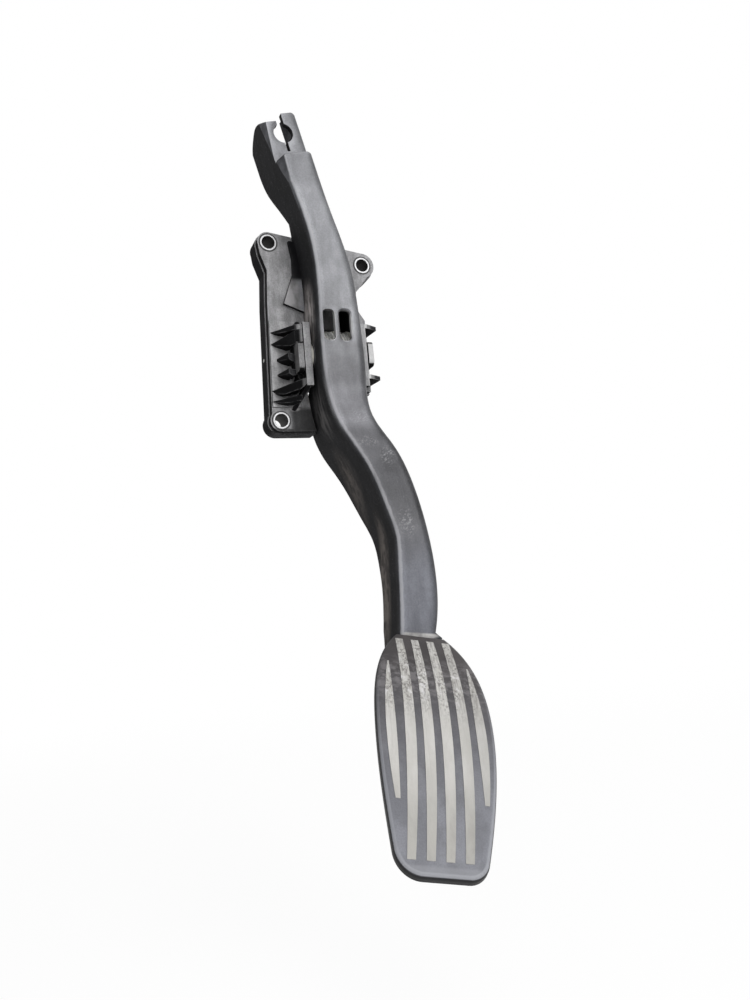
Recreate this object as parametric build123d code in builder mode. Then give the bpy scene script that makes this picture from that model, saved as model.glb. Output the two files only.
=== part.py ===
"""Hanging accelerator pedal: a moulded arm with a cable hook, a bolted bracket and an inlaid tread pad.

X points right as the driver sees it, Y into the bulkhead and Z up, in millimetres.
The origin lies on the mounting face, straight behind the middle of the pivot pin.
"""

import os
from math import cos, radians, sin

from build123d import *

os.makedirs("parts", exist_ok=True)

# Bracket base
base_depth = 14.0
skirt_depth = 10.0
rim_step = 0.6
skirt_wall = 2.5
plate_thickness = 3.0
raised_step = 0.8
floor_depth = 7.0
floor_bottom = -12.0
boss_radius = 6.0
bolt_left_x = -26.0
bolt_upper_z = 60.5
bolt_lower_z = -29.5
bolt_right_x = 23.0
bolt_right_z = 52.0
ear_radius = 7.1
base_right_x = 22.6
cutout_x = -11.2
gusset_thickness = 2.0

# Bolt sleeves
sleeve_radius = 4.3
sleeve_bore_radius = 3.25
sleeve_proud = 0.2

# Pivot
pivot_y = -22.0
pin_radius = 3.0
fit_gap = 0.03
cheek_inner_x = 12.6
cheek_outer_x = 16.0
cheek_half_height = 15.5
cheek_front_y = -28.0
lug_inner_x = 16.6
lug_outer_x = 19.2
lug_right_z = (-5.4, 7.0)
lug_left_z = (-8.4, 6.2)
lug_front_y = -28.5
lug_corner = 2.5
lug_floor = 1.0
arm_boss_x = 11.4
arm_boss_inner_x = 7.6
arm_boss_radius = 7.0
bush_radius = 4.2
washer_radius = 6.5
side_gap = 0.3

# Return springs and their spool
spool_half_length = 7.25
spool_radius = 10.3
spool_flange_radius = 12.8
spool_flange_half = 0.6
spool_end_flange = 0.6
wire_radius = 0.8
coil_radius = 11.6
coil_turns = 2.5
coil_pitch = 1.65
coil_start_x = 1.58
leg_length = 12.0
seat_top_z = -8.5
seat_height = 3.5

# Pedal arm
half_span = 60.0
arm_wall = 2.5
arm_left_edge_radius = 2.4
arm_right_edge_radius = 4.0
flank_edge_radius = 1.5
ridge_corner_radius = 1.5
rib_thickness = 2.0
rib_levels = (76.0, 46.0, -48.0, -76.0, -106.0)
hook_lean = 14.0
hook_x = -18.35
hook_z = 110.3
hook_face_y = -29.0
hook_back_y = -20.0
hook_shoulder = -13.5
hook_root_z = 90.0
hook_lip = 3.0
hook_taper = 12.0
hook_half_width = 8.9
prong_corner = 2.0
eye_radius = 4.9
eye_slot_width = 3.6
eye_slit_width = 1.6
eye_slit_length = 9.4
window_width = 5.9
window_height = 15.0
window_corner = 2.2
window_edge = 0.6
window_z = 11.0
window_left_x = -6.3
window_right_x = 1.85
stop_thickness = 2.0
stop_gap = 0.3

# Tread pad
pad_tilt = 48.0
pad_turn = 18.0
pad_x = 1.6
pad_y = -98.9
pad_z = -167.5
pad_bow_radius = 250.0
pad_thickness = 3.0
pad_edge_radius = 2.0
pad_top = 56.4
pad_bottom = -57.4
pad_half_width = 23.2
pad_left_corner = 10.5
pad_right_corner = 7.5
foot_plate_thickness = 3.0
foot_plate_inset = 5.0
pad_reach = 40.0

# Tread strips
strip_depth = 1.2
strip_proud = 0.2
strip_top = 51.8
strip_top_shift = -0.4
strip_top_pitch = 6.9
strip_top_half = 1.65
strip_middle_shift = 0.4
strip_middle_pitch = 7.0
strip_middle_half = 2.05
strip_bottom = -52.4
strip_bottom_shift = -1.95
strip_bottom_pitch = 6.65
strip_bottom_half = 1.5

# Shared planes
tilt_cos = cos(radians(pad_tilt))
tilt_sin = sin(radians(pad_tilt))
turn_cos = cos(radians(pad_turn))
turn_sin = sin(radians(pad_turn))
pad_across = (turn_cos, -turn_sin * tilt_sin, -turn_sin * tilt_cos)
pad_plane = Plane((pad_x, pad_y, pad_z), x_dir=pad_across, z_dir=(0, -tilt_cos, tilt_sin))
pad_bow_centre = pad_plane.location * Location((0, 0, -pad_bow_radius), (0, 90, 0))
hook_across = (cos(radians(hook_lean)), 0, sin(radians(hook_lean)))
hook_plane = Plane((hook_x, hook_face_y, hook_z), x_dir=hook_across, z_dir=(0, -1, 0))
crown_plane = Plane((hook_x, hook_face_y, hook_z), x_dir=(0, 1, 0), z_dir=hook_across)
flank_plane = Plane((-20.5, -36.6, 92.6), x_dir=(3.8, -1.0, -22.0), z_dir=(-0.92, -0.36, -0.14))
pin_plane = Plane((0, pivot_y, 0), x_dir=(0, 1, 0), z_dir=(1, 0, 0))
bolt_points = [
    (bolt_left_x, bolt_upper_z),
    (bolt_right_x, bolt_right_z),
    (bolt_left_x, bolt_lower_z),
]

# Outline of the bracket base, as the driver sees it
with BuildSketch(Plane.XZ) as base_outline:
    with BuildLine():
        Polyline(
            (bolt_left_x - boss_radius + 0.9, bolt_lower_z),
            (bolt_left_x - 3.3, bolt_upper_z - 30.5),
            (bolt_left_x - 2.3, bolt_upper_z - 14.5),
            (bolt_left_x - 5.2, bolt_upper_z - 6.0),
            (bolt_left_x - boss_radius, bolt_upper_z),
            (bolt_left_x + 0.9, bolt_upper_z + boss_radius - 0.1),
            (bolt_right_x + 0.9, bolt_right_z + ear_radius - 0.1),
            (bolt_right_x + 4.6, bolt_right_z - 4.6),
            (base_right_x - 3.5, bolt_right_z - 14.0),
            (base_right_x - 4.2, 29.0),
            (base_right_x, 22.5),
            (base_right_x, -cheek_half_height),
            (cheek_inner_x, -cheek_half_height),
            (cheek_inner_x, floor_bottom),
            (cutout_x, floor_bottom),
            (cutout_x + 0.3, -17.5),
            (cutout_x + 1.2, -25.0),
            (cutout_x + 3.2, bolt_lower_z - boss_radius),
            (bolt_left_x, bolt_lower_z - boss_radius),
            close=True,
        )
    make_face()
    with Locations((bolt_left_x, bolt_upper_z), (bolt_left_x, bolt_lower_z)):
        Circle(boss_radius)
    with Locations((bolt_right_x, bolt_right_z)):
        Circle(ear_radius)

# Left gussets from the top down: the outline the driver sees, and the height of the crest along X
left_gussets = [
    (
        [(-28.9, 13.9), (-16.2, 14.8), (-16.2, 12.3), (-22.0, 12.1), (-26.0, 12.6)],
        [(-28.9, 0.6), (-19.5, 12.2), (-14.0, 14.0)],
    ),
    (
        [(-29.0, 7.9), (-19.0, 12.0), (-16.2, 12.6), (-16.2, 6.2), (-21.4, 5.0), (-26.7, 6.7)],
        [(-29.0, 0.6), (-19.5, 11.5), (-14.0, 14.0)],
    ),
    (
        [(-26.4, 0.7), (-16.8, 1.6), (-16.8, -2.0), (-20.8, -2.7), (-23.9, -1.8), (-26.3, -0.5)],
        [(-26.4, 0.6), (-23.3, 11.0), (-19.0, 8.0), (-16.8, 8.0)],
    ),
    (
        [(-26.6, -7.0), (-16.4, -6.0), (-16.4, -7.7), (-21.3, -9.8), (-24.4, -9.0), (-26.5, -7.8)],
        [(-26.6, 0.6), (-23.7, 11.5), (-19.0, 8.0), (-16.4, 8.0)],
    ),
    (
        [(-29.8, -15.2), (-15.0, -11.5), (-15.0, -13.8), (-18.5, -16.8), (-24.7, -18.0), (-27.6, -17.2)],
        [(-29.8, 0.6), (-20.5, 11.0), (-15.0, 14.0)],
    ),
    (
        [(-30.0, -20.4), (-17.6, -19.3), (-17.6, -22.0), (-22.7, -22.5), (-26.6, -21.9)],
        [(-30.0, 0.6), (-20.4, 10.0), (-17.6, 10.0)],
    ),
]


# One gusset, cut to its outline and to its crest
def gusset(outline, crest):
    foot_y = 1 - base_depth
    crest_points = [(x, -base_depth - height) for x, height in crest]
    with BuildPart() as fin:
        with BuildSketch(Plane.XZ.offset(base_depth - 1)):
            with BuildLine():
                Polyline(*outline, close=True)
            make_face()
        extrude(amount=-cheek_front_y)
        with BuildSketch(Plane.XY.offset(-half_span)) as side:
            with BuildLine():
                Polyline((crest[0][0], foot_y), *crest_points, (crest[-1][0], foot_y), close=True)
            make_face()
        extrude(side.sketch, amount=2 * half_span, mode=Mode.INTERSECT)
    return fin.part


# Bracket: hollow base, cheeks, lugs, gussets and posts in one moulding
with BuildPart() as bracket:
    with BuildSketch(Plane.XZ):
        add(base_outline.sketch_local)
    extrude(amount=skirt_depth)
    with BuildSketch(Plane.XZ.offset(skirt_depth)):
        add(base_outline.sketch_local)
        offset(amount=-rim_step, mode=Mode.REPLACE)
    extrude(amount=base_depth - skirt_depth)
    # Raised field that carries the left gussets
    with BuildSketch(Plane.XZ.offset(base_depth - 1)):
        with BuildLine():
            Polyline(
                (-29.8, -23.0),
                (-28.8, 20.0),
                (-cheek_outer_x, 20.0),
                (-cheek_outer_x, -23.0),
                close=True,
            )
        make_face()
    extrude(amount=1 + raised_step)
    # Lowered floor behind the arm
    with BuildSketch(Plane.XZ.offset(floor_depth)):
        with Locations((0, -cheek_half_height)):
            Rectangle(2 * cheek_inner_x, 2 * cheek_half_height + 1, align=(Align.CENTER, Align.MIN))
    extrude(amount=base_depth, mode=Mode.SUBTRACT)
    # Cheeks on both sides of the arm
    with BuildSketch(Plane.YZ.offset(-cheek_outer_x), Plane.YZ.offset(cheek_inner_x)):
        with Locations((cheek_front_y, 0)):
            Rectangle(
                -cheek_front_y - floor_depth,
                2 * cheek_half_height,
                align=(Align.MIN, Align.CENTER),
            )
    extrude(amount=cheek_outer_x - cheek_inner_x)
    # Flat lugs outside the cheeks carry the pin ends
    for lug_plane, (lug_bottom, lug_top) in (
        (Plane.YZ.offset(-lug_outer_x), lug_left_z),
        (Plane.YZ.offset(lug_inner_x), lug_right_z),
    ):
        with BuildSketch(lug_plane):
            with Locations((lug_front_y, lug_bottom)):
                RectangleRounded(
                    -lug_front_y - floor_depth,
                    lug_top - lug_bottom,
                    lug_corner,
                    align=(Align.MIN, Align.MIN),
                )
        extrude(amount=lug_outer_x - lug_inner_x)
    # Left gussets between the plate and the cheek or the lug
    for outline, crest in left_gussets:
        add(gusset(outline, crest))
    # Brace under the left cheek, met by the lowest gusset
    brace_plane = Plane((-14.3, -base_depth, -14.5), x_dir=(-0.46, 0, -0.888), z_dir=(0.888, 0, -0.46))
    with BuildSketch(brace_plane.offset(-gusset_thickness / 2)):
        with BuildLine():
            Polyline((0, 0), (11.5, 0), (0, base_depth + cheek_front_y), close=True)
        make_face()
    extrude(amount=gusset_thickness)
    # Right fins
    right_fins = [Plane.XY.offset(z - gusset_thickness / 2) for z in (14.6, -10.8)]
    with BuildSketch(*right_fins):
        with BuildLine():
            Polyline(
                (cheek_inner_x, cheek_front_y),
                (cheek_outer_x + 1, cheek_front_y),
                (base_right_x + 0.6, cheek_front_y + 3.5),
                (base_right_x - 0.7, -skirt_depth),
                (cheek_inner_x, -skirt_depth),
                close=True,
            )
        make_face()
    extrude(amount=gusset_thickness)
    # Seat for the rear legs of the springs
    with BuildSketch(Plane.XZ.offset(floor_depth - 1)):
        with Locations((0, seat_top_z)):
            Rectangle(2 * spool_half_length, seat_height, align=(Align.CENTER, Align.MAX))
    extrude(amount=-pivot_y - coil_radius - wire_radius - floor_depth + 1)
    # Two round posts beside the left cheek
    with BuildSketch(Plane.XZ.offset(base_depth)):
        with Locations((-17.0, 15.9), (-16.9, -9.9)):
            Circle(1.5)
    extrude(amount=8.5)
    # Pockets in the back, with ribs that carry the mounting face
    with BuildSketch(Plane.XZ):
        add(base_outline.sketch_local)
        offset(amount=-skirt_wall, mode=Mode.REPLACE)
        with Locations(*bolt_points):
            Circle(boss_radius, mode=Mode.SUBTRACT)
        with Locations((0, 0)):
            Rectangle(2 * lug_outer_x, 2 * cheek_half_height + 6, mode=Mode.SUBTRACT)
        with Locations((0, 0), (-22.0, 0)):
            Rectangle(2.5, 150, mode=Mode.SUBTRACT)
        with Locations((0, 40.0), (0, -20.5)):
            Rectangle(100, 2.5, mode=Mode.SUBTRACT)
    extrude(amount=base_depth - plate_thickness, mode=Mode.SUBTRACT)
    with BuildSketch(Plane.XZ):
        with Locations((-6.2, 2.5), (6.2, 2.5)):
            Rectangle(8, 22)
    extrude(amount=floor_depth - plate_thickness, mode=Mode.SUBTRACT)
    # Bores for the sleeves and the pin, whose left end is blind
    with BuildSketch(Plane.XZ):
        with Locations(*bolt_points):
            Circle(sleeve_radius)
    extrude(amount=2 * base_depth, mode=Mode.SUBTRACT)
    with BuildSketch(pin_plane.offset(lug_floor - lug_outer_x)):
        Circle(pin_radius)
    extrude(amount=2 * lug_outer_x, mode=Mode.SUBTRACT)
bracket.part.label = "bracket"
export_step(bracket.part, "parts/bracket.step")

# Steel sleeves that take the clamp load of the three bolts
with BuildPart() as sleeve_upper_left:
    with BuildSketch(Plane.XZ):
        with Locations((bolt_left_x, bolt_upper_z)):
            Circle(sleeve_radius)
            Circle(sleeve_bore_radius, mode=Mode.SUBTRACT)
    extrude(amount=base_depth + sleeve_proud)
sleeve_upper_left.part.label = "sleeve_upper_left"
export_step(sleeve_upper_left.part, "parts/sleeve_upper_left.step")

with BuildPart() as sleeve_lower_left:
    with BuildSketch(Plane.XZ):
        with Locations((bolt_left_x, bolt_lower_z)):
            Circle(sleeve_radius)
            Circle(sleeve_bore_radius, mode=Mode.SUBTRACT)
    extrude(amount=base_depth + sleeve_proud)
sleeve_lower_left.part.label = "sleeve_lower_left"
export_step(sleeve_lower_left.part, "parts/sleeve_lower_left.step")

with BuildPart() as sleeve_upper_right:
    with BuildSketch(Plane.XZ):
        with Locations((bolt_right_x, bolt_right_z)):
            Circle(sleeve_radius)
            Circle(sleeve_bore_radius, mode=Mode.SUBTRACT)
    extrude(amount=base_depth + sleeve_proud)
sleeve_upper_right.part.label = "sleeve_upper_right"
export_step(sleeve_upper_right.part, "parts/sleeve_upper_right.step")

# Pivot pin, pushed in from the right and flush with the right lug
with BuildPart() as pivot_pin:
    with BuildSketch(pin_plane.offset(lug_floor - lug_outer_x)):
        Circle(pin_radius)
    extrude(amount=2 * lug_outer_x - lug_floor)
pivot_pin.part.label = "pivot_pin"
export_step(pivot_pin.part, "parts/pivot_pin.step")

# Plain bushes in the two walls of the arm
with BuildPart() as pivot_bush_left:
    with BuildSketch(pin_plane.offset(-arm_boss_x)):
        Circle(bush_radius)
        Circle(pin_radius + fit_gap, mode=Mode.SUBTRACT)
    extrude(amount=arm_boss_x - arm_boss_inner_x)
pivot_bush_left.part.label = "pivot_bush_left"
export_step(pivot_bush_left.part, "parts/pivot_bush_left.step")

with BuildPart() as pivot_bush_right:
    with BuildSketch(pin_plane.offset(arm_boss_inner_x)):
        Circle(bush_radius)
        Circle(pin_radius + fit_gap, mode=Mode.SUBTRACT)
    extrude(amount=arm_boss_x - arm_boss_inner_x)
pivot_bush_right.part.label = "pivot_bush_right"
export_step(pivot_bush_right.part, "parts/pivot_bush_right.step")

# Thrust washers that sit on the cheeks
with BuildPart() as thrust_washer_left:
    with BuildSketch(pin_plane.offset(-cheek_inner_x)):
        Circle(washer_radius)
        Circle(pin_radius + fit_gap, mode=Mode.SUBTRACT)
    extrude(amount=cheek_inner_x - arm_boss_x - side_gap)
thrust_washer_left.part.label = "thrust_washer_left"
export_step(thrust_washer_left.part, "parts/thrust_washer_left.step")

with BuildPart() as thrust_washer_right:
    with BuildSketch(pin_plane.offset(arm_boss_x + side_gap)):
        Circle(washer_radius)
        Circle(pin_radius + fit_gap, mode=Mode.SUBTRACT)
    extrude(amount=cheek_inner_x - arm_boss_x - side_gap)
thrust_washer_right.part.label = "thrust_washer_right"
export_step(thrust_washer_right.part, "parts/thrust_washer_right.step")

# Spool that guides the two spring coils between its flanges
with BuildPart() as spring_spool:
    with BuildSketch(pin_plane.offset(-spool_half_length)):
        Circle(spool_radius)
    extrude(amount=2 * spool_half_length)
    with BuildSketch(pin_plane.offset(-spool_flange_half)):
        Circle(spool_flange_radius)
    extrude(amount=2 * spool_flange_half)
    end_flanges = (-spool_half_length, spool_half_length - spool_end_flange)
    with BuildSketch(*[pin_plane.offset(x) for x in end_flanges]):
        Circle(spool_flange_radius)
    extrude(amount=spool_end_flange)
    with BuildSketch(pin_plane.offset(-spool_half_length)):
        Circle(pin_radius + fit_gap)
    extrude(amount=2 * spool_half_length, mode=Mode.SUBTRACT)
spring_spool.part.label = "spring_spool"
export_step(spring_spool.part, "parts/spring_spool.step")

# One torsion spring about its own axis: a coil with a leg at each end
with BuildPart() as spring_shape:
    with BuildLine() as coil_line:
        Helix(pitch=coil_pitch, height=coil_turns * coil_pitch, radius=coil_radius)
    with BuildSketch(Plane(origin=coil_line.line @ 0, z_dir=coil_line.line % 0)):
        Circle(wire_radius)
    sweep(path=coil_line.line, is_frenet=True)
    with BuildSketch(Plane(origin=coil_line.line @ 0, z_dir=coil_line.line % 0)):
        Circle(wire_radius)
    extrude(amount=-leg_length)
    with BuildSketch(Plane(origin=coil_line.line @ 1, z_dir=coil_line.line % 1)):
        Circle(wire_radius)
    extrude(amount=leg_length)

# The springs sit on the spool, with one leg on the bracket seat and one on the arm seat
with BuildPart() as return_spring_right:
    with Locations(pin_plane.offset(coil_start_x).location):
        add(spring_shape.part)
return_spring_right.part.label = "return_spring_right"
export_step(return_spring_right.part, "parts/return_spring_right.step")

with BuildPart() as return_spring_left:
    mirror(return_spring_right.part, about=Plane.YZ)
return_spring_left.part.label = "return_spring_left"
export_step(return_spring_left.part, "parts/return_spring_left.step")


# Outline of the tread pad, drawn in by an inset for the foot plate that carries it
def pad_face(inset):
    with BuildSketch(pad_plane.offset(pad_reach / 4)) as face:
        with BuildLine():
            right_side = Spline(
                (10.6 - inset, pad_top - inset),
                (18.6 - inset, pad_top - 16.5),
                (pad_half_width - inset, 4.0),
                (19.9 - inset, -30.0),
                (13.9 - inset, pad_bottom + inset),
            )
            left_side = Spline(
                (inset - 11.6, pad_top - inset),
                (inset - 18.8, pad_top - 15.5),
                (inset - pad_half_width, 4.0),
                (inset - 20.9, -30.0),
                (inset - 16.4, pad_bottom + inset),
            )
            Line(left_side @ 0, right_side @ 0)
            Line(left_side @ 1, right_side @ 1)
        make_face()
        fillet(face.vertices().group_by(Axis.Y)[0].sort_by(Axis.X)[0], radius=pad_left_corner)
        fillet(face.vertices().group_by(Axis.Y)[0].sort_by(Axis.X)[-1], radius=pad_right_corner)
    return face.sketch


# Foot plate, and the room the pad takes in front of it
with BuildPart() as foot_plate:
    extrude(pad_face(foot_plate_inset), amount=-pad_reach)
    with Locations(pad_bow_centre):
        Cylinder(pad_bow_radius - pad_thickness, 2 * half_span, mode=Mode.INTERSECT)
        Cylinder(pad_bow_radius - pad_thickness - foot_plate_thickness, 2 * half_span, mode=Mode.SUBTRACT)

with BuildPart() as pad_space:
    extrude(pad_face(0), amount=-pad_reach)
    with Locations(pad_bow_centre):
        Cylinder(pad_bow_radius - pad_thickness, 2 * half_span, mode=Mode.SUBTRACT)

# Outlines of the six strips: four long ones with a slight bow, and two pointed ones outside them
strip_plane = pad_plane.offset(pad_reach / 4)
strip_outlines = []
for step in (-1.5, -0.5, 0.5, 1.5):
    top_x = strip_top_shift + step * strip_top_pitch
    middle_x = strip_middle_shift + step * strip_middle_pitch
    bottom_x = strip_bottom_shift + step * strip_bottom_pitch
    with BuildSketch(strip_plane) as long_strip:
        with BuildLine():
            right_side = ThreePointArc(
                (top_x + strip_top_half, strip_top),
                (middle_x + strip_middle_half, 0),
                (bottom_x + strip_bottom_half, strip_bottom),
            )
            left_side = ThreePointArc(
                (top_x - strip_top_half, strip_top),
                (middle_x - strip_middle_half, 0),
                (bottom_x - strip_bottom_half, strip_bottom),
            )
            Line(left_side @ 0, right_side @ 0)
            Line(left_side @ 1, right_side @ 1)
        make_face()
    strip_outlines.append(long_strip.sketch)
for side in (-1, 1):
    with BuildSketch(strip_plane) as short_strip:
        with BuildLine():
            outer_side = ThreePointArc((side * 17.2, 34.5), (side * 19.45, 6.0), (side * 16.9, -32.0))
            inner_side = ThreePointArc((side * 16.6, 34.5), (side * 15.65, 2.0), (side * 15.2, -32.0))
            Line(outer_side @ 0, inner_side @ 0)
            Line(outer_side @ 1, inner_side @ 1)
        make_face()
    strip_outlines.append(short_strip.sketch)

with BuildPart() as strip_space:
    for outline in strip_outlines:
        extrude(outline, amount=-pad_reach)
    with Locations(pad_bow_centre):
        Cylinder(pad_bow_radius - strip_depth, 2 * half_span, mode=Mode.SUBTRACT)

# Points along the left, right and front of the arm, from the hook down
arm_left = [
    (-25.2, 101.0),
    (-15.9, 70.0),
    (-11.6, 49.0),
    (-11.0, 15.0),
    (-10.8, -14.0),
    (-6.4, -37.0),
    (3.2, -56.0),
    (9.9, -79.5),
    (12.2, -90.5),
    (11.9, -103.0),
    (10.0, -134.0),
    (-12.0, -192.0),
]
arm_right = [
    (-8.0, 105.0),
    (0.4, 70.0),
    (7.7, 42.0),
    (10.4, 15.0),
    (11.0, -14.0),
    (11.7, -32.0),
    (20.1, -48.0),
    (26.7, -69.0),
    (29.7, -90.0),
    (30.0, -130.0),
    (0.0, -194.0),
]
arm_front = [
    (-36.0, 125.0),
    (-36.6, 90.0),
    (-38.6, 50.0),
    (-38.8, 10.0),
    (-39.4, -18.0),
    (-42.0, -38.0),
    (-47.2, -63.0),
    (-51.8, -88.0),
    (-53.0, -110.0),
    (-52.3, -137.0),
]
hook_left_top = (-29.4, 117.8)
hook_right_top = (-12.4, 122.0)


# Outline of the arm as the driver sees it, drawn in by an inset for the hollow
def arm_face(inset):
    left = [(x + inset, z) for x, z in arm_left]
    right = [(x - inset, z) for x, z in arm_right]
    left_top = (hook_left_top[0] + inset, hook_left_top[1] - inset)
    right_top = (hook_right_top[0] - inset, hook_right_top[1] - inset)
    with BuildSketch(Plane.XZ) as face:
        with BuildLine():
            hook_left = Line(left_top, left[0])
            hook_right = Line(right_top, right[0])
            Spline(*left, tangents=[hook_left % 1, (-0.6, -1)])
            Spline(*right, tangents=[hook_right % 1, (-0.6, -1)])
            Line(left_top, right_top)
            Line(left[-1], right[-1])
        make_face()
        if inset == 0:
            fillet(face.vertices().sort_by(Axis.Y)[-1], radius=prong_corner)
    return face.sketch


# Side outline of the arm
with BuildSketch(Plane.YZ.offset(-half_span)) as arm_side:
    with BuildLine():
        Spline(*arm_front)
        Polyline(
            arm_front[-1],
            (-66.0, -141.0),
            (-108.0, -182.0),
            (-112.0, -190.0),
            (-36.0, -146.0),
            (-32.5, -134.0),
        )
        Spline(
            (-32.5, -134.0),
            (-32.0, -112.0),
            (-27.0, -98.0),
            (-16.5, -80.0),
            (-6.0, -61.0),
            (-0.8, -46.0),
            (-2.8, -35.0),
            (-5.5, -25.0),
            (-9.2, -18.8),
            (-12.1, -15.8),
            (-15.0, -10.0),
            tangents=[(0, 1), (0, 1)],
        )
        Polyline((-15.0, -10.0), (-15.0, 17.0), (-14.3, 20.0), (-14.3, 61.0), (-17.5, 69.0), (-12.0, 78.5))
        Spline((-12.0, 78.5), (-5.6, 90.0), (-4.0, 101.0), tangents=[(0.6, 1), (0, 1)])
        Polyline((-4.0, 101.0), (-4.0, 125.0), arm_front[0])
    make_face()

# Inside of the arm, which is open at the back, with cross ribs and pivot bosses left standing
with BuildPart() as arm_hollow:
    extrude(arm_face(arm_wall), amount=140)
    with BuildSketch(Plane.YZ.offset(-half_span)) as hollow_side:
        with BuildLine():
            Spline(*[(y + arm_wall, z) for y, z in arm_front])
            Polyline(
                (arm_front[-1][0] + arm_wall, arm_front[-1][1]),
                (-40.0, -140.0),
                (5.0, -140.0),
                (5.0, arm_front[0][1]),
                (arm_front[0][0] + arm_wall, arm_front[0][1]),
            )
        make_face()
    extrude(hollow_side.sketch, amount=2 * half_span, mode=Mode.INTERSECT)
    with BuildSketch(Plane.YZ.offset(-half_span)) as kept_side:
        with Locations((hook_back_y, hook_root_z)):
            Rectangle(60, 60, align=(Align.MAX, Align.MIN))
        with Locations(*[(0, rib_z) for rib_z in rib_levels]):
            Rectangle(150, rib_thickness)
        with Locations((pivot_y - coil_radius - wire_radius - side_gap, seat_top_z)):
            Rectangle(20, seat_height, align=(Align.MAX, Align.MAX))
    extrude(kept_side.sketch, amount=2 * half_span, mode=Mode.SUBTRACT)
    with BuildSketch(pin_plane.offset(-2 * arm_boss_x), pin_plane.offset(arm_boss_inner_x)) as kept_boss:
        Circle(arm_boss_radius)
    extrude(kept_boss.sketch, amount=2 * arm_boss_x - arm_boss_inner_x, mode=Mode.SUBTRACT)

with BuildPart() as pedal_arm:
    extrude(arm_face(0), amount=140)
    extrude(arm_side.sketch, amount=2 * half_span, mode=Mode.INTERSECT)
    # Recess in front of the cable hook
    with BuildSketch(hook_plane):
        with Locations((0, hook_shoulder)):
            Rectangle(60, 60, align=(Align.CENTER, Align.MIN))
    extrude(amount=40, mode=Mode.SUBTRACT)
    # Rounded long edges of the front
    front_face = pedal_arm.faces().sort_by_distance((0, -2 * half_span, 30.0))[0]
    long_edges = front_face.edges().sort_by(SortBy.LENGTH)[-2:].sort_by(Axis.X)
    fillet(long_edges[0], radius=arm_left_edge_radius)
    front_face = pedal_arm.faces().sort_by_distance((0, -2 * half_span, 30.0))[0]
    long_edges = front_face.edges().sort_by(SortBy.LENGTH)[-2:].sort_by(Axis.X)
    fillet(long_edges[1], radius=arm_right_edge_radius)
    # Slanted flank below the hook, which narrows the top of the front
    with BuildSketch(flank_plane):
        Rectangle(60, 60)
    extrude(amount=20, mode=Mode.SUBTRACT)
    flank_edge = pedal_arm.edges().sort_by_distance(flank_plane.origin)[0]
    fillet(flank_edge, radius=flank_edge_radius)
    # Rounded right corner of the shoulder in front of the hook
    ridge_corner = hook_plane.from_local_coords((hook_half_width, hook_shoulder, 5.0))
    fillet(pedal_arm.edges().sort_by_distance(ridge_corner)[0], radius=ridge_corner_radius)
    # Rear flange of the left wall, widened into the tab that rests on the plate
    with BuildSketch(Plane.XZ.offset(base_depth + stop_gap)):
        with BuildLine():
            Polyline(
                (-9.5, 24.3),
                (-20.9, 28.7),
                (-15.2, 44.2),
                (-15.0, 52.0),
                (-16.4, 61.0),
                (-12.0, 61.0),
                (-9.5, 45.0),
                close=True,
            )
        make_face()
    extrude(amount=stop_thickness)
    add(arm_hollow.part, mode=Mode.SUBTRACT)
    # Pivot bosses with bores for the bushes
    with BuildSketch(pin_plane.offset(-arm_boss_x), pin_plane.offset(arm_boss_inner_x)):
        Circle(arm_boss_radius)
    extrude(amount=arm_boss_x - arm_boss_inner_x)
    with BuildSketch(pin_plane.offset(-half_span)):
        Circle(bush_radius)
    extrude(amount=2 * half_span, mode=Mode.SUBTRACT)
    # Windows in front of the springs
    with BuildSketch(Plane.XZ.offset(-pivot_y + coil_radius)):
        with Locations((window_left_x, window_z), (window_right_x, window_z)):
            RectangleRounded(window_width, window_height, window_corner)
    extrude(amount=half_span, mode=Mode.SUBTRACT)
    window_face = pedal_arm.faces().sort_by_distance((0, -2 * half_span, 30.0))[0]
    chamfer([wire.edges() for wire in window_face.inner_wires()], length=window_edge)
    # Crown of the left prong, which rises behind the hook face and runs out at the back
    with BuildSketch(crown_plane.offset(-2 * hook_half_width)):
        with BuildLine():
            crown = Spline((-1.0, 6.1), (6.0, 8.8), (11.0, 9.7), (18.0, 7.8), (23.5, 4.8), (27.0, 0.0))
            Polyline(crown @ 1, (40.0, 0.0), (40.0, 30.0), (-1.0, 30.0), crown @ 0)
        make_face()
    extrude(amount=2 * hook_half_width - eye_slot_width / 2, mode=Mode.SUBTRACT)
    # Behind the hook only the left wall runs on
    with BuildSketch(hook_plane.offset(hook_face_y - hook_back_y)):
        with Locations((arm_wall - hook_half_width, hook_shoulder)):
            Rectangle(60, 60, align=(Align.MIN, Align.MIN))
    extrude(amount=-half_span, mode=Mode.SUBTRACT)
    # Cable eye in the lip of the hook, with the entry slot above it and a relief slit below it
    with BuildSketch(hook_plane.offset(-hook_lip)):
        Circle(eye_radius)
        Rectangle(eye_slot_width, 30, align=(Align.CENTER, Align.MIN))
        Rectangle(eye_slit_width, eye_slit_length, align=(Align.CENTER, Align.MAX))
    extrude(amount=2 * hook_lip, mode=Mode.SUBTRACT)
    # Tapered channel behind the lip, open to the top and to the back
    with BuildSketch(hook_plane.offset(-hook_lip)):
        Circle(eye_radius)
        Rectangle(2 * eye_radius, 30, align=(Align.CENTER, Align.MIN))
    extrude(amount=hook_face_y - hook_back_y, taper=hook_taper, mode=Mode.SUBTRACT)
    # Foot plate behind the tread pad, and the seat for the pad
    add(foot_plate.part)
    add(pad_space.part, mode=Mode.SUBTRACT)
pedal_arm.part.label = "pedal_arm"
export_step(pedal_arm.part, "parts/pedal_arm.step")

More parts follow.
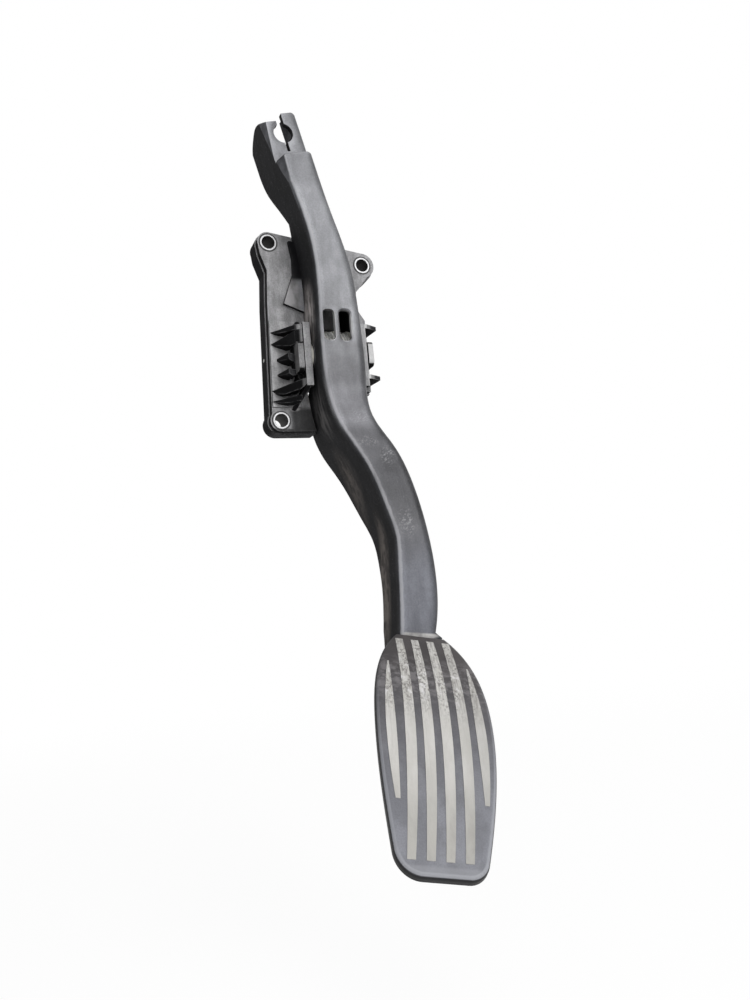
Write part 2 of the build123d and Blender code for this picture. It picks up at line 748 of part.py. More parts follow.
# Tread pad with pockets for the strips
with BuildPart() as tread_pad:
    extrude(pad_face(0), amount=-pad_reach)
    with Locations(pad_bow_centre):
        Cylinder(pad_bow_radius, 2 * half_span, mode=Mode.INTERSECT)
        Cylinder(pad_bow_radius - pad_thickness, 2 * half_span, mode=Mode.SUBTRACT)
    pad_front = tread_pad.faces().sort_by_distance(pad_plane.offset(pad_reach).origin)[0]
    fillet(pad_front.edges(), radius=pad_edge_radius)
    add(strip_space.part, mode=Mode.SUBTRACT)
tread_pad.part.label = "tread_pad"
export_step(tread_pad.part, "parts/tread_pad.step")

# Light strips inlaid in the tread, slightly proud of it
with BuildPart() as tread_strip_1:
    extrude(strip_outlines[0], amount=-pad_reach)
    with Locations(pad_bow_centre):
        Cylinder(pad_bow_radius + strip_proud, 2 * half_span, mode=Mode.INTERSECT)
        Cylinder(pad_bow_radius - strip_depth, 2 * half_span, mode=Mode.SUBTRACT)
tread_strip_1.part.label = "tread_strip_1"
export_step(tread_strip_1.part, "parts/tread_strip_1.step")

with BuildPart() as tread_strip_2:
    extrude(strip_outlines[1], amount=-pad_reach)
    with Locations(pad_bow_centre):
        Cylinder(pad_bow_radius + strip_proud, 2 * half_span, mode=Mode.INTERSECT)
        Cylinder(pad_bow_radius - strip_depth, 2 * half_span, mode=Mode.SUBTRACT)
tread_strip_2.part.label = "tread_strip_2"
export_step(tread_strip_2.part, "parts/tread_strip_2.step")

with BuildPart() as tread_strip_3:
    extrude(strip_outlines[2], amount=-pad_reach)
    with Locations(pad_bow_centre):
        Cylinder(pad_bow_radius + strip_proud, 2 * half_span, mode=Mode.INTERSECT)
        Cylinder(pad_bow_radius - strip_depth, 2 * half_span, mode=Mode.SUBTRACT)
tread_strip_3.part.label = "tread_strip_3"
export_step(tread_strip_3.part, "parts/tread_strip_3.step")

with BuildPart() as tread_strip_4:
    extrude(strip_outlines[3], amount=-pad_reach)
    with Locations(pad_bow_centre):
        Cylinder(pad_bow_radius + strip_proud, 2 * half_span, mode=Mode.INTERSECT)
        Cylinder(pad_bow_radius - strip_depth, 2 * half_span, mode=Mode.SUBTRACT)
tread_strip_4.part.label = "tread_strip_4"
export_step(tread_strip_4.part, "parts/tread_strip_4.step")

with BuildPart() as tread_strip_left:
    extrude(strip_outlines[4], amount=-pad_reach)
    with Locations(pad_bow_centre):
        Cylinder(pad_bow_radius + strip_proud, 2 * half_span, mode=Mode.INTERSECT)
        Cylinder(pad_bow_radius - strip_depth, 2 * half_span, mode=Mode.SUBTRACT)
tread_strip_left.part.label = "tread_strip_left"
export_step(tread_strip_left.part, "parts/tread_strip_left.step")

with BuildPart() as tread_strip_right:
    extrude(strip_outlines[5], amount=-pad_reach)
    with Locations(pad_bow_centre):
        Cylinder(pad_bow_radius + strip_proud, 2 * half_span, mode=Mode.INTERSECT)
        Cylinder(pad_bow_radius - strip_depth, 2 * half_span, mode=Mode.SUBTRACT)
tread_strip_right.part.label = "tread_strip_right"
export_step(tread_strip_right.part, "parts/tread_strip_right.step")
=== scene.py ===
import bpy
from mathutils import Matrix, Vector


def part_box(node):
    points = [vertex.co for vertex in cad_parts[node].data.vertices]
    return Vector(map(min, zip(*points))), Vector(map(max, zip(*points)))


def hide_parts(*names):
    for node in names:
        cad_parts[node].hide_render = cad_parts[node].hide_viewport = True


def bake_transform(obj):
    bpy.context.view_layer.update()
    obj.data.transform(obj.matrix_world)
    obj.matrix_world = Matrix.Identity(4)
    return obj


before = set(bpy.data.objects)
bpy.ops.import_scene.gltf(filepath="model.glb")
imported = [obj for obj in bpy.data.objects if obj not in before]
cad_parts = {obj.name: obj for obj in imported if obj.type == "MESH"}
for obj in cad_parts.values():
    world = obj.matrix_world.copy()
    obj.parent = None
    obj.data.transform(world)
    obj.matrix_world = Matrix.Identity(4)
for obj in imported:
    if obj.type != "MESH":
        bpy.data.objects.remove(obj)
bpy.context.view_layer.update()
scene = bpy.context.scene
scene.view_settings.view_transform = "Standard"

# Directions in the row frame. The arm's front leans back a little, and the tread is tilted.
RIGHT, BACK, UP = (1, 0, 0), (0, 1, 0), (0, 0, 1)
LEFT, FRONT, DOWN = (-1, 0, 0), (0, -1, 0), (0, 0, -1)
ARM_FRONT = (0.0, -0.98, 0.17)
ARM_CORNER = (-0.55, -0.83, 0.08)
HOOK_FLANK = (-0.92, -0.36, -0.14)
PAD_ACROSS = (0.951, -0.230, -0.207)
PAD_UP = (0.309, 0.707, 0.636)
PAD_FRONT = (0.0, -0.669, 0.743)
X_AXIS, Y_AXIS = 0, 1

# Places in the row frame, in metres.
PAD_CENTRE = Vector((0.0016, -0.0989, -0.1675))
BOLTS = ((-0.026, 0.0, 0.0605), (0.023, 0.0, 0.052), (-0.026, 0.0, -0.0295))
SLEEVE_BORE = 0.0033
MIDDLE = Vector((0.0, -0.06, -0.045))
FLOOR_HEIGHT = -0.26
FLOOR_HALF = 6.0
CAMERA_PLACE = (-0.1299, -0.3825, -0.1120)

# Bands of the arm's front: the heights of their ends, their softness, and their tone.
ARM_BANDS = (
    (-0.084, -0.056, 0.008, 0.80),
    (0.050, 0.072, 0.008, 1.12),
    (-0.018, 0.000, 0.008, 1.16),
    (0.080, 0.098, 0.006, 0.80),
    (-0.038, -0.018, 0.006, 2.00),
)

# Scuffs on the arm's front: their centres and half sizes.
ARM_SCUFFS = (
    ((0.0062, -0.0436, -0.0460), (0.0080, 0.006, 0.0035)),
    ((0.0150, -0.0450, -0.0530), (0.0060, 0.006, 0.0065)),
    ((0.0186, -0.0514, -0.0852), (0.0060, 0.006, 0.0100)),
    ((0.0032, -0.0413, -0.0337), (0.0085, 0.006, 0.0050)),
)

TOOL_RINGS = 30000.0  # radians per metre away from a turned piece's axis
WORLD_FILL = 0.32  # strength of the background where it lights but isn't seen


class Paint:
    """A procedural material: one Principled shader and the nodes that feed it."""

    def __init__(self, name, constants):
        self.material = bpy.data.materials.new(name)
        self.material.use_nodes = True
        self.tree = self.material.node_tree
        self.tree.nodes.clear()
        self.shader = self.add("ShaderNodeBsdfPrincipled")
        for socket, value in constants.items():
            self.shader.inputs[socket].default_value = value
        output = self.add("ShaderNodeOutputMaterial")
        self.feed(output.inputs["Surface"], self.shader.outputs["BSDF"])
        coordinates = self.add("ShaderNodeTexCoord")
        self.place = coordinates.outputs["Object"]
        self.normal = coordinates.outputs["Normal"]
        self.bumped = None

    def add(self, kind, **settings):
        node = self.tree.nodes.new(kind)
        for key, value in settings.items():
            setattr(node, key, value)
        return node

    def feed(self, socket, value):
        """Links a socket to an input, or writes a plain number, vector or colour on it."""
        if isinstance(value, bpy.types.NodeSocket):
            self.tree.links.new(value, socket)
        elif socket.type == "RGBA" and len(value) == 3:
            socket.default_value = (*value, 1.0)
        else:
            socket.default_value = value

    def math(self, operation, a, b=0.0):
        node = self.add("ShaderNodeMath", operation=operation)
        self.feed(node.inputs[0], a)
        self.feed(node.inputs[1], b)
        return node.outputs[0]

    def times(self, *values):
        """The product of several masks."""
        result = values[0]
        for value in values[1:]:
            result = self.math("MULTIPLY", result, value)
        return result

    def most(self, *values):
        """The highest of several masks."""
        result = values[0]
        for value in values[1:]:
            result = self.math("MAXIMUM", result, value)
        return result

    def spread(self, value, low, high, start=0.0, end=1.0):
        """A value from low to high turned smoothly into one from start to end."""
        node = self.add("ShaderNodeMapRange", interpolation_type="SMOOTHSTEP")
        for socket, number in zip(node.inputs, (value, low, high, start, end)):
            self.feed(socket, number)
        return node.outputs[0]

    def vector(self, operation, a, b=None):
        node = self.add("ShaderNodeVectorMath", operation=operation)
        self.feed(node.inputs[0], a)
        if b is not None:
            self.feed(node.inputs[1], b)
        return node.outputs

    def dot(self, vector, direction):
        return self.vector("DOT_PRODUCT", vector, direction)["Value"]

    def facing(self, direction, low, high, start=0.0, end=1.0):
        """1 on surfaces that face a direction, 0 on those that turn away."""
        return self.spread(self.dot(self.normal, direction), low, high, start, end)

    def along(self, direction, low, high):
        """0 before one place along a direction and 1 after another, in metres."""
        return self.spread(self.dot(self.place, direction), low, high)

    def between(self, value, start, end, soft):
        """1 between two values and 0 outside them, with soft borders."""
        return self.times(
            self.spread(value, start - soft, start + soft),
            self.spread(value, end - soft, end + soft, 1.0, 0.0),
        )

    def turned(self, *axes):
        """The place measured along three other axes."""
        node = self.add("ShaderNodeCombineXYZ")
        for socket, axis in zip(node.inputs, axes):
            self.feed(socket, self.dot(self.place, axis))
        return node.outputs["Vector"]

    def from_axis(self, centre, axis):
        """The distance from a line through a place, along X, Y or Z."""
        offset = self.vector("SUBTRACT", self.place, centre)["Vector"]
        across = tuple(0.0 if i == axis else 1.0 for i in range(3))
        flat = self.vector("MULTIPLY", offset, across)["Vector"]
        return self.vector("LENGTH", flat)["Value"]

    def noise(self, scales, low=0.35, high=0.65, detail=4.0, distortion=0.0, place=None):
        """Cloudy noise, with its scale along each axis in features per metre."""
        stretched = self.vector("MULTIPLY", place or self.place, scales)["Vector"]
        node = self.add("ShaderNodeTexNoise")
        self.feed(node.inputs["Vector"], stretched)
        node.inputs["Scale"].default_value = 1.0
        node.inputs["Detail"].default_value = detail
        node.inputs["Roughness"].default_value = 0.6
        node.inputs["Distortion"].default_value = distortion
        return self.spread(node.outputs["Fac"], low, high)

    def spot(self, centre, size, soft=0.6):
        """1 round a place, fading to 0 at an ellipsoid of that half size in metres."""
        offset = self.vector("SUBTRACT", self.place, centre)["Vector"]
        scaled = self.vector("DIVIDE", offset, size)["Vector"]
        distance = self.vector("LENGTH", scaled)["Value"]
        return self.spread(distance, 1.0 - soft, 1.0, 1.0, 0.0)

    def rounded(self, radius):
        """The normal as it would be with every edge rounded."""
        node = self.add("ShaderNodeBevel", samples=6)
        node.inputs["Radius"].default_value = radius
        return node.outputs["Normal"]

    def edges(self, radius, low=0.02, high=0.25):
        """1 along sharp edges, from how far a rounded normal leaves the true one."""
        geometry = self.add("ShaderNodeNewGeometry")
        likeness = self.dot(self.rounded(radius), geometry.outputs["Normal"])
        return self.spread(likeness, 1.0 - high, 1.0 - low, 1.0, 0.0)

    def mix(self, mask, a, b):
        node = self.add("ShaderNodeMix", data_type="RGBA")
        self.feed(node.inputs["Factor"], mask)
        self.feed(node.inputs[6], a)
        self.feed(node.inputs[7], b)
        return node.outputs[2]

    def shade(self, colour, mask, low, high):
        """A colour made darker or lighter by a mask, from low to high times itself."""
        node = self.add("ShaderNodeVectorMath", operation="SCALE")
        self.feed(node.inputs[0], colour)
        self.feed(node.inputs["Scale"], self.spread(mask, 0.0, 1.0, low, high))
        return node.outputs["Vector"]

    def colour(self, value):
        self.feed(self.shader.inputs["Base Color"], value)

    def roughness(self, mask, low, high):
        self.feed(self.shader.inputs["Roughness"], self.spread(mask, 0.0, 1.0, low, high))

    def bump(self, height, distance, strength=1.0):
        """Adds relief to what is there: a height from 0 to 1 over a distance in metres."""
        node = self.add("ShaderNodeBump")
        node.inputs["Strength"].default_value = strength
        node.inputs["Distance"].default_value = distance
        self.feed(node.inputs["Height"], height)
        if self.bumped is not None:
            self.feed(node.inputs["Normal"], self.bumped)
        self.bumped = node.outputs["Normal"]
        self.feed(self.shader.inputs["Normal"], self.bumped)


def arm_paint():
    """Black nylon: satin, its front greyed where hands and shoes rub it and painted lighter as
    painted sheen, dusty on the sides.
    """
    p = Paint("arm_plastic", {"Specular IOR Level": 0.14})
    front = p.facing(ARM_FRONT, 0.35, 0.95)
    height = p.dot(p.place, UP)
    rounded = p.rounded(0.006)
    smudges = p.noise((38, 38, 24), 0.3, 0.7)
    clouds = p.noise((150, 150, 100), 0.3, 0.7)
    streaks = p.noise((420, 420, 45), 0.3, 0.7, 3.0)
    grain = p.noise((1500, 1500, 1500), 0.3, 0.7, 2.0)
    flecks = p.noise((1500, 1500, 1100), 0.62, 0.72, 2.0)

    # The front is greyed by wear and painted lighter as painted sheen: most above the windows,
    # least at the bend, bluish low down.
    upper = p.spread(height, -0.030, 0.030)
    lower = p.spread(height, -0.112, -0.084, 1.0, 0.0)
    wear_and_sheen = p.mix(lower, (0.090, 0.090, 0.097), (0.160, 0.165, 0.187))
    wear_and_sheen = p.mix(upper, wear_and_sheen, (0.235, 0.238, 0.252))
    for start, end, soft, tone in ARM_BANDS:
        wear_and_sheen = p.shade(wear_and_sheen, p.between(height, start, end, soft), 1.0, tone)
    wear_and_sheen = p.shade(wear_and_sheen, smudges, 0.82, 1.14)
    wear_and_sheen = p.shade(wear_and_sheen, clouds, 0.93, 1.07)
    wear_and_sheen = p.shade(wear_and_sheen, streaks, 0.96, 1.04)
    wear_and_sheen = p.shade(wear_and_sheen, grain, 0.93, 1.07)
    # Painted shade darkens the front's right edge, and a painted highlight lightens its left
    # edge.
    wear_and_sheen = p.shade(wear_and_sheen, p.spread(p.dot(rounded, RIGHT), 0.04, 0.55), 1.0, 0.30)
    wear_and_sheen = p.shade(wear_and_sheen, p.spread(p.dot(rounded, LEFT), 0.02, 0.40), 1.0, 1.45)

    # The sides are black, painted darkest on the left as painted shade and less dark where
    # they face right and back, with a smear by the bracket and a painted sheen next to the
    # front.
    away = p.most(p.facing(RIGHT, 0.1, 0.6), p.facing(BACK, 0.1, 0.6))
    greyed = p.shade((0.034, 0.034, 0.036), smudges, 0.7, 1.4)
    black = p.mix(away, (0.007, 0.007, 0.008), greyed)
    black = p.shade(p.shade(black, clouds, 0.7, 1.3), grain, 0.9, 1.1)
    smear = p.spot((-0.0092, -0.0240, -0.0290), (0.010, 0.012, 0.022), 0.9)
    black = p.mix(p.times(smear, streaks, 0.9), black, (0.110, 0.106, 0.106))
    flank = p.times(p.facing(HOOK_FLANK, 0.94, 0.985), p.spread(height, 0.060, 0.075))
    by_front = p.spread(p.dot(rounded, ARM_FRONT), 0.06, 0.55)
    by_front = p.times(by_front, p.along(FRONT, 0.026, 0.032))
    flank = p.most(flank, p.times(by_front, 0.55))
    black = p.mix(flank, black, p.shade((0.088, 0.089, 0.097), clouds, 0.7, 1.2))
    # A painted highlight on the side next to the front, at the bend.
    glow = p.times(by_front, p.between(height, -0.038, -0.014, 0.008))
    black = p.mix(glow, black, p.shade((0.200, 0.200, 0.210), streaks, 0.7, 1.1))
    base = p.mix(front, black, wear_and_sheen)
    base = p.mix(p.times(flecks, 0.20), base, (0.24, 0.24, 0.25))

    # The stop tab is grey, and painted black above as painted shade, where the arm leans over
    # it.
    tab = p.spot((-0.0180, -0.0160, 0.0330), (0.0075, 0.003, 0.0150), 0.4)
    tab = p.times(tab, p.facing(FRONT, 0.7, 0.9))
    base = p.mix(tab, base, p.shade((0.225, 0.221, 0.226), clouds, 0.6, 1.3))
    above_tab = p.times(p.along(BACK, -0.0180, -0.0170), p.along(UP, 0.0395, 0.0425))
    base = p.mix(p.times(above_tab, front), base, black)

    # Pale scuffs on the front at the bend, each broken into specks and short scratches.
    slanted = p.turned((0.86, 0, 0.50), (-0.50, 0, 0.86), BACK)
    scratches = p.noise((650, 1300, 900), 0.50, 0.62, 5.0, 0.8, slanted)
    scuffs = p.most(*(p.spot(centre, size, 0.9) for centre, size in ARM_SCUFFS))
    scuffs = p.times(scuffs, scratches)
    base = p.mix(p.times(scuffs, 0.65), base, (0.30, 0.30, 0.31))

    # Dried brown dust on the left side, by the pivot and low down at the back; by the pivot
    # the patch is paler, dust with a painted highlight on it.
    patches = p.noise((300, 300, 120), 0.36, 0.62, 5.0)
    dust_and_highlight = p.most(
        p.spot((-0.0109, -0.0230, 0.0190), (0.010, 0.012, 0.022), 0.9),
        p.times(p.spot((0.0050, -0.0200, -0.0640), (0.012, 0.012, 0.036), 0.9), 0.55),
        p.spot((0.0110, -0.0360, -0.1140), (0.010, 0.008, 0.044), 0.7),
    )
    dust_and_highlight = p.times(dust_and_highlight, p.spread(patches, 0.0, 1.0, 0.35, 1.0), p.facing(LEFT, 0.5, 0.9))
    by_pivot = p.spread(height, -0.040, -0.010)
    dust_and_highlight_colour = p.mix(by_pivot, (0.160, 0.141, 0.130), (0.56, 0.52, 0.51))
    base = p.mix(p.times(dust_and_highlight, 0.85), base, dust_and_highlight_colour)

    # The left front corner is painted a pale line, rubbed wear with a painted highlight on it,
    # and each sharp edge is rubbed pale.
    ridge = p.facing(ARM_CORNER, 0.91, 0.99)
    ridge = p.times(ridge, p.noise((120, 120, 40), 0.15, 0.6))
    base = p.mix(p.times(ridge, 0.60), base, (0.40, 0.40, 0.42))
    rubbed = p.times(p.edges(0.0012), p.noise((300, 300, 120), 0.35, 0.6))
    rubbed = p.times(rubbed, p.along(FRONT, 0.016, 0.024))
    base = p.mix(p.times(rubbed, 0.35), base, (0.26, 0.26, 0.27))

    # In the two windows, the walls are painted grey as painted light and the rims pale as
    # painted highlights.
    windows = p.spot((-0.0021, -0.0380, 0.0110), (0.0095, 0.0040, 0.0110), 0.1)
    walls = p.times(windows, p.facing(ARM_FRONT, 0.3, 0.6, 1.0, 0.0))
    base = p.mix(walls, base, p.shade((0.13, 0.128, 0.13), clouds, 0.7, 1.2))
    rim = p.spread(p.dot(p.rounded(0.0010), (-0.71, 0, 0.71)), 0.12, 0.40)
    rim = p.times(rim, p.spot((-0.0016, -0.0380, 0.0110), (0.0080, 0.0040, 0.0105), 0.1))
    base = p.mix(p.times(rim, 0.8), base, p.shade((0.46, 0.46, 0.47), clouds, 0.8, 1.1))

    # A thin pale line painted as a highlight on the edge above the tread.
    slope = p.spread(p.dot(p.place, (0.16, 0, 1)), -0.1326, -0.1318, 1.0, 0.0)
    junction_highlight = p.times(slope, p.spot((0.0195, -0.0525, -0.1362), (0.0100, 0.006, 0.0060), 0.3))
    base = p.mix(p.times(junction_highlight, 0.85), base, p.shade((0.46, 0.45, 0.44), clouds, 0.6, 1.2))
    p.colour(base)
    dull = p.most(p.times(dust_and_highlight, 0.9), p.spread(front, 0.0, 1.0, 0.9, 0.15))
    p.roughness(p.most(dull, p.times(smudges, 0.3)), 0.32, 0.80)
    p.bump(clouds, 0.00010, 0.5)
    p.bump(grain, 0.00004, 0.6)
    p.bump(scuffs, 0.00008, 0.6)
    return p.material


def bracket_paint():
    """Black nylon of the bracket: dull, coarser, flecked, with dust lying on its plate and the
    plate painted lighter as painted sheen.
    """
    p = Paint("bracket_plastic", {"Specular IOR Level": 0.09})
    depth = p.dot(p.place, BACK)
    clouds = p.noise((140, 140, 90), 0.3, 0.7)
    streaks = p.noise((700, 700, 60), 0.3, 0.7, 3.0)
    grain = p.noise((1500, 1500, 1500), 0.3, 0.7, 3.0)
    flecks = p.noise((1000, 1000, 1000), 0.58, 0.68, 3.0)

    # The plate and the ends of the pivot lugs are greyed where they face the front, partly
    # dust and partly painted sheen, with a painted shadow over the lower plate, right of and
    # below the lower left sleeve.
    on_plate = p.spread(depth, -0.0162, -0.0152)
    on_lugs = p.spread(depth, -0.0270, -0.0262, 1.0, 0.0)
    plate = p.times(p.facing(FRONT, 0.80, 0.97), p.most(on_plate, on_lugs))
    raised = p.spread(depth, -0.0149, -0.0143, 1.0, 0.0)
    wear_and_sheen = p.mix(raised, (0.255, 0.254, 0.260), (0.300, 0.299, 0.305))
    wear_and_sheen = p.shade(wear_and_sheen, clouds, 0.78, 1.20)
    wear_and_sheen = p.shade(wear_and_sheen, streaks, 0.92, 1.08)
    wear_and_sheen = p.shade(wear_and_sheen, grain, 0.88, 1.12)
    lug_end = p.spread(depth, -0.0275, -0.0265, 1.0, 0.0)
    right_lug = p.times(p.along(RIGHT, 0.0155, 0.0160), lug_end)
    wear_and_sheen = p.mix(p.times(right_lug, 0.8), wear_and_sheen, (0.50, 0.50, 0.50))
    shadowed = p.times(p.along(DOWN, 0.0210, 0.0255), p.along(RIGHT, -0.0238, -0.0185))
    shadowed = p.most(shadowed, p.along(DOWN, 0.0325, 0.0345))
    wear_and_sheen = p.shade(wear_and_sheen, shadowed, 1.0, 0.15)
    left_lug = p.times(p.along(LEFT, 0.0162, 0.0166), lug_end)
    wear_and_sheen = p.shade(wear_and_sheen, left_lug, 1.0, 0.55)
    scrape = p.spot((-0.0190, -0.0144, -0.0238), (0.0038, 0.002, 0.0016), 0.6)
    wear_and_sheen = p.mix(p.times(scrape, 0.8), wear_and_sheen, p.shade((0.36, 0.35, 0.35), grain, 0.6, 1.2))

    # The rest is black: painted deepest on the left as painted shade, a little greyer at the
    # right and the back.
    away = p.most(p.facing(RIGHT, 0.1, 0.6), p.spread(depth, -0.0112, -0.0104))
    away = p.most(away, p.facing(BACK, 0.1, 0.6))
    away = p.times(away, p.facing(LEFT, 0.5, 0.8, 1.0, 0.0))
    black = p.mix(away, (0.0045, 0.0045, 0.005), (0.032, 0.032, 0.034))
    black = p.shade(p.shade(black, clouds, 0.6, 1.4), grain, 0.9, 1.1)
    lug_side = p.between(p.dot(p.place, RIGHT), -0.0196, -0.0188, 0.0002)
    lug_side = p.times(lug_side, p.spread(depth, -0.0225, -0.0205, 1.0, 0.0))
    lug_side = p.times(lug_side, p.facing(LEFT, 0.7, 0.9))
    black = p.mix(lug_side, black, p.shade((0.105, 0.103, 0.105), clouds, 0.7, 1.3))
    base = p.mix(plate, black, wear_and_sheen)

    # Pale flecks, a nick in the skirt, and rubbed edges.
    in_light = p.spread(shadowed, 0.0, 0.5, 0.4, 0.0)
    base = p.mix(p.times(flecks, plate, in_light), base, (0.40, 0.40, 0.40))
    nick = p.spot((-0.0301, -0.0045, 0.0029), (0.003, 0.0016, 0.0011), 0.5)
    base = p.mix(nick, base, (0.62, 0.62, 0.60))
    rubbed = p.times(p.edges(0.0008), p.noise((350, 350, 350), 0.35, 0.6))
    base = p.mix(p.times(rubbed, 0.40), base, (0.26, 0.26, 0.265))

    # Painted shade in the groove round each bolt sleeve.
    for bolt in BOLTS:
        groove_shade = p.between(p.from_axis(bolt, Y_AXIS), 0.0042, 0.0048, 0.0002)
        base = p.mix(p.times(groove_shade, 0.85), base, (0.012, 0.012, 0.012))
    p.colour(base)
    dull = p.spread(plate, 0.0, 1.0, 1.0, 0.2)
    p.roughness(p.most(p.times(clouds, 0.3), dull), 0.42, 0.9)
    p.bump(clouds, 0.0001, 0.5)
    p.bump(grain, 0.00006, 0.7)
    return p.material


def from_pad_centre(p, direction):
    """How far a place is from the middle of the tread, along a direction."""
    return p.math("SUBTRACT", p.dot(p.place, direction), PAD_CENTRE.dot(Vector(direction)))


def pad_paint():
    """Dark tread rubber: brown and worn at the top, greyer and smoother at the bottom."""
    p = Paint("pad_rubber", {"Specular IOR Level": 0.25})
    front = p.facing(PAD_FRONT, 0.45, 0.85)
    place = p.turned(PAD_ACROSS, PAD_UP, PAD_FRONT)
    height = from_pad_centre(p, PAD_UP)
    low = p.spread(height, -0.050, 0.042, 1.0, 0.0)
    clouds = p.noise((110, 70, 110), 0.3, 0.7, place=place)
    grain = p.noise((1800, 1800, 1800), 0.3, 0.7, 2.0)
    face = p.mix(low, (0.055, 0.050, 0.051), (0.172, 0.176, 0.197))
    face = p.shade(face, p.spread(height, -0.058, -0.050, 1.0, 0.0), 1.0, 0.86)
    face = p.shade(face, clouds, 0.85, 1.15)
    face = p.shade(face, grain, 0.94, 1.06)
    base = p.mix(front, (0.010, 0.010, 0.011), face)

    # Chalky rubbing across the upper third, and a pale rim round the lower part and a paler
    # lip along the bottom, both painted highlights on the rounded edges.
    rubbed = p.noise((240, 330, 240), 0.42, 0.62, 5.0, place=place)
    rubbed = p.times(rubbed, p.between(height, 0.014, 0.036, 0.007))
    base = p.mix(p.times(rubbed, front, 0.42), base, (0.25, 0.238, 0.245))
    rim = p.between(p.dot(p.normal, PAD_FRONT), 0.62, 0.96, 0.03)
    base = p.mix(p.times(rim, low, 0.8), base, (0.28, 0.285, 0.31))
    lip = p.times(p.spread(height, -0.0546, -0.0534, 1.0, 0.0), front)
    base = p.mix(p.times(lip, 0.5), base, (0.260, 0.265, 0.285))
    p.colour(base)
    dull = p.spread(low, 0.0, 1.0, 1.0, 0.2)
    p.roughness(p.most(p.times(clouds, 0.4), dull), 0.40, 0.68)
    p.bump(clouds, 0.00008, 0.5)
    p.bump(grain, 0.00004, 0.6)
    return p.material


def strip_paint():
    """Pale inlaid strips, worn to dark specks and streaks in the upper third."""
    p = Paint("strip_plastic", {"Specular IOR Level": 0.4})
    place = p.turned(PAD_ACROSS, PAD_UP, PAD_FRONT)
    height = from_pad_centre(p, PAD_UP)
    across = from_pad_centre(p, PAD_ACROSS)
    low = p.spread(height, -0.050, -0.010, 1.0, 0.0)
    clouds = p.noise((150, 60, 90), 0.3, 0.7, place=place)
    base = p.mix(clouds, (0.44, 0.43, 0.405), (0.53, 0.52, 0.50))
    base = p.mix(p.times(low, 0.8), base, p.shade((0.295, 0.286, 0.264), clouds, 0.9, 1.1))
    # The right side of the strips is painted darker as painted shade.
    base = p.shade(base, p.spread(across, 0.002, 0.018), 1.0, 0.84)

    # Dark wear: fine streaks along the strips, and specks that gather into blotches.
    streaks = p.noise((1500, 130, 300), 0.46, 0.62, 4.0, place=place)
    blotches = p.noise((330, 190, 260), 0.40, 0.56, 4.0, place=place)
    specks = p.noise((1100, 700, 700), 0.45, 0.58, 3.0, place=place)
    wear = p.most(p.times(streaks, 0.7), p.times(specks, blotches))
    wear = p.times(p.spread(height, -0.004, 0.020), wear)
    base = p.mix(p.times(wear, 0.85), base, (0.15, 0.14, 0.135))

    # Edges eaten away, patches rubbed bare, and faint traces all along.
    eaten = p.times(p.edges(0.0007), p.noise((420, 160, 420), 0.38, 0.56, 4.0, place=place))
    eaten = p.times(eaten, p.spread(height, 0.000, 0.016))
    base = p.mix(p.times(eaten, 0.85), base, (0.10, 0.095, 0.098))
    bared = p.noise((380, 240, 300), 0.55, 0.64, 4.0, place=place)
    bared = p.times(bared, p.between(height, 0.012, 0.036, 0.005))
    base = p.mix(p.times(bared, 0.7), base, (0.62, 0.61, 0.62))
    traces = p.times(p.noise((1200, 50, 300), 0.58, 0.70, 4.0, place=place), 0.22)
    base = p.mix(traces, base, (0.30, 0.29, 0.27))
    p.colour(base)
    p.roughness(p.most(clouds, wear), 0.42, 0.62)
    p.bump(wear, 0.00008, -0.5)
    p.bump(specks, 0.00003, 0.5)
    return p.material


def turned_steel(name, colour, centre, axis, dull, bore=0.0):
    """Turned steel with fine tool rings; a sleeve also has its bore and its outer rim painted
    dark as painted shade.
    """
    p = Paint(name, {"Metallic": 1.0})
    distance = p.from_axis(centre, axis)
    rings = p.math("SINE", p.math("MULTIPLY", distance, TOOL_RINGS))
    rings = p.spread(rings, -1.0, 1.0)
    clouds = p.noise((500, 500, 500), 0.35, 0.7)
    base = p.shade(p.shade(colour, clouds, 0.85, 1.08), rings, 0.93, 1.0)
    if bore:
        inside = p.spread(distance, bore, bore + 0.0001, 1.0, 0.0)
        base = p.mix(inside, base, p.shade((0.06, 0.058, 0.056), clouds, 0.5, 1.4))
        rim = p.spread(distance, bore + 0.0006, bore + 0.0008)
        base = p.mix(rim, base, (0.10, 0.10, 0.10))
    p.colour(base)
    p.roughness(clouds, dull, dull + 0.15)
    p.bump(rings, 0.00002, 0.3)
    return p.material


def spring_paint():
    """Zinc plated wire, a little cloudy."""
    p = Paint("spring_steel", {"Metallic": 0.4})
    clouds = p.noise((700, 700, 700), 0.35, 0.7)
    p.colour(p.shade((0.66, 0.66, 0.64), clouds, 0.8, 1.1))
    p.roughness(clouds, 0.40, 0.58)
    p.bump(p.noise((3000, 3000, 3000)), 0.00002, 0.4)
    return p.material


def bush_paint():
    """Natural acetal with a film of grease."""
    p = Paint("bush_plastic", {"Specular IOR Level": 0.5})
    clouds = p.noise((400, 400, 400), 0.35, 0.7)
    p.colour(p.mix(clouds, (0.52, 0.51, 0.46), (0.60, 0.59, 0.55)))
    p.roughness(clouds, 0.25, 0.5)
    p.bump(p.noise((2000, 2000, 2000)), 0.00002, 0.4)
    return p.material


def dress(material, *names):
    """Puts one material, and nothing else, on CAD nodes."""
    for name in names:
        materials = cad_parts[name].data.materials
        materials.clear()
        materials.append(material)


